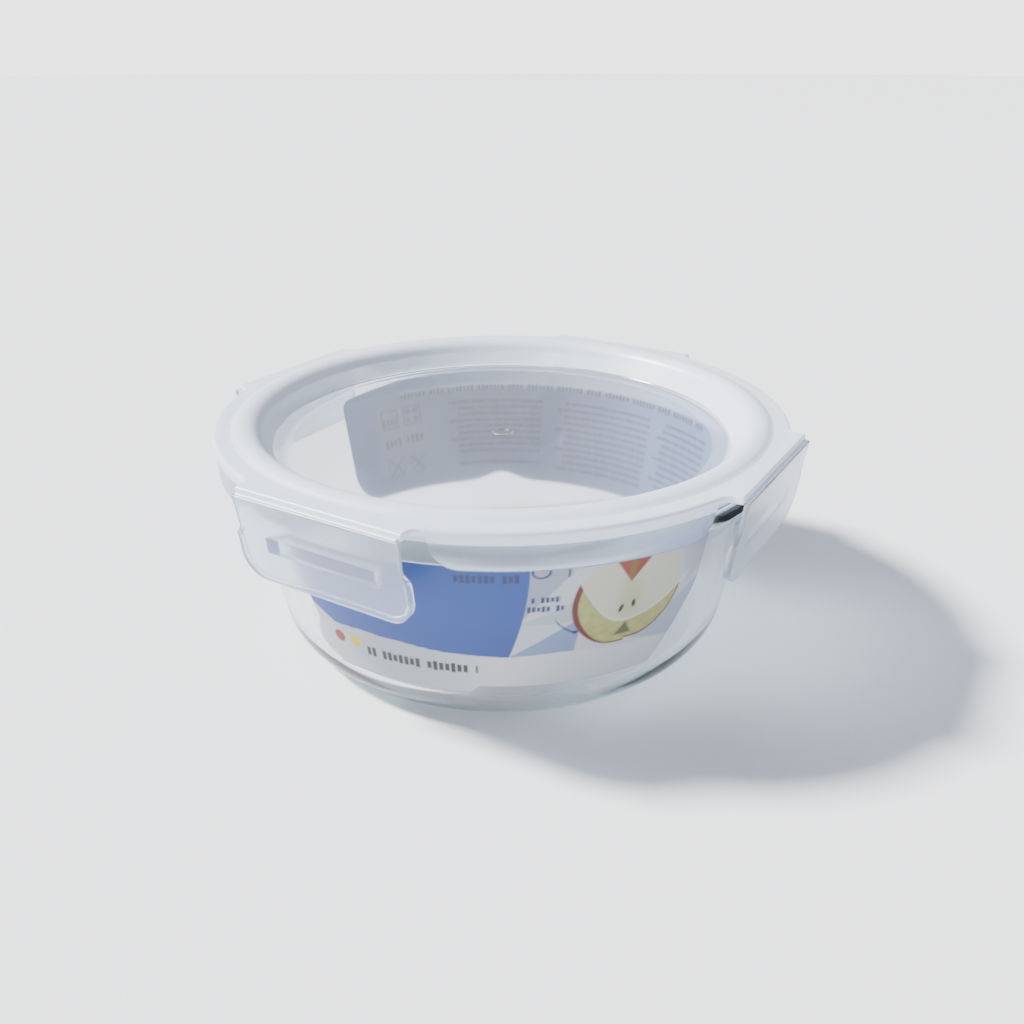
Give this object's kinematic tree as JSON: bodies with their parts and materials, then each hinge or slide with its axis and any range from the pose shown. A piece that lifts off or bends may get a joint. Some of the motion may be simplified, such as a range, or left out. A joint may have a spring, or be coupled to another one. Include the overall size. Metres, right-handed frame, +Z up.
{
  "type": "glass storage container",
  "caption": "Round clear glass storage bowl with a milky plastic lid that seals by a ring gasket and hinged locking wings, with printed wrap labels.",
  "frame": {"origin": "on the bowl's axis at table level, the middle of the foot ring's underside", "axes": "+Z up along the bowl's axis, -Y towards the front wing, +X towards the right wing"},
  "size_m": [0.183, 0.183, 0.073],
  "materials": {
    "borosilicate_glass": "fire-polished, clear with a faint aqua edge",
    "lid_plastic": "clarified polypropylene, milky, satin",
    "wing_plastic": "clarified polypropylene, milky, satin",
    "silicone": "white translucent silicone, matte",
    "front_print": "coated label stock, printed",
    "back_print": "coated label stock, printed"
  },
  "bodies": {
    "bowl": {"glass_bowl": "borosilicate_glass", "front_label": "front_print", "back_label": "back_print"},
    "lid": {"lid_panel": "lid_plastic", "lid_gasket": "silicone", "film_hinge_front": "lid_plastic", "film_hinge_right": "lid_plastic", "film_hinge_back": "lid_plastic", "film_hinge_left": "lid_plastic"},
    "front_wing": {"wing_front": "wing_plastic"},
    "right_wing": {"wing_right": "wing_plastic"},
    "back_wing": {"wing_back": "wing_plastic"},
    "left_wing": {"wing_left": "wing_plastic"}
  },
  "joints": [
    {"name": "lid_lift", "type": "slide", "parent": "bowl", "child": "lid", "axis": [0, 0, 1], "range_m": [0, 0.06]},
    {"name": "front_wing_hinge", "type": "hinge", "parent": "lid", "child": "front_wing", "pos_m": [0, -0.0908, 0.07], "axis": [-1, 0, 0], "range_deg": [-4, 150]},
    {"name": "right_wing_hinge", "type": "hinge", "parent": "lid", "child": "right_wing", "pos_m": [0.0908, 0, 0.07], "axis": [0, -1, 0], "range_deg": [-4, 150]},
    {"name": "back_wing_hinge", "type": "hinge", "parent": "lid", "child": "back_wing", "pos_m": [0, 0.0908, 0.07], "axis": [1, 0, 0], "range_deg": [-4, 150]},
    {"name": "left_wing_hinge", "type": "hinge", "parent": "lid", "child": "left_wing", "pos_m": [-0.0908, 0, 0.07], "axis": [0, 1, 0], "range_deg": [-4, 150]}
  ]
}
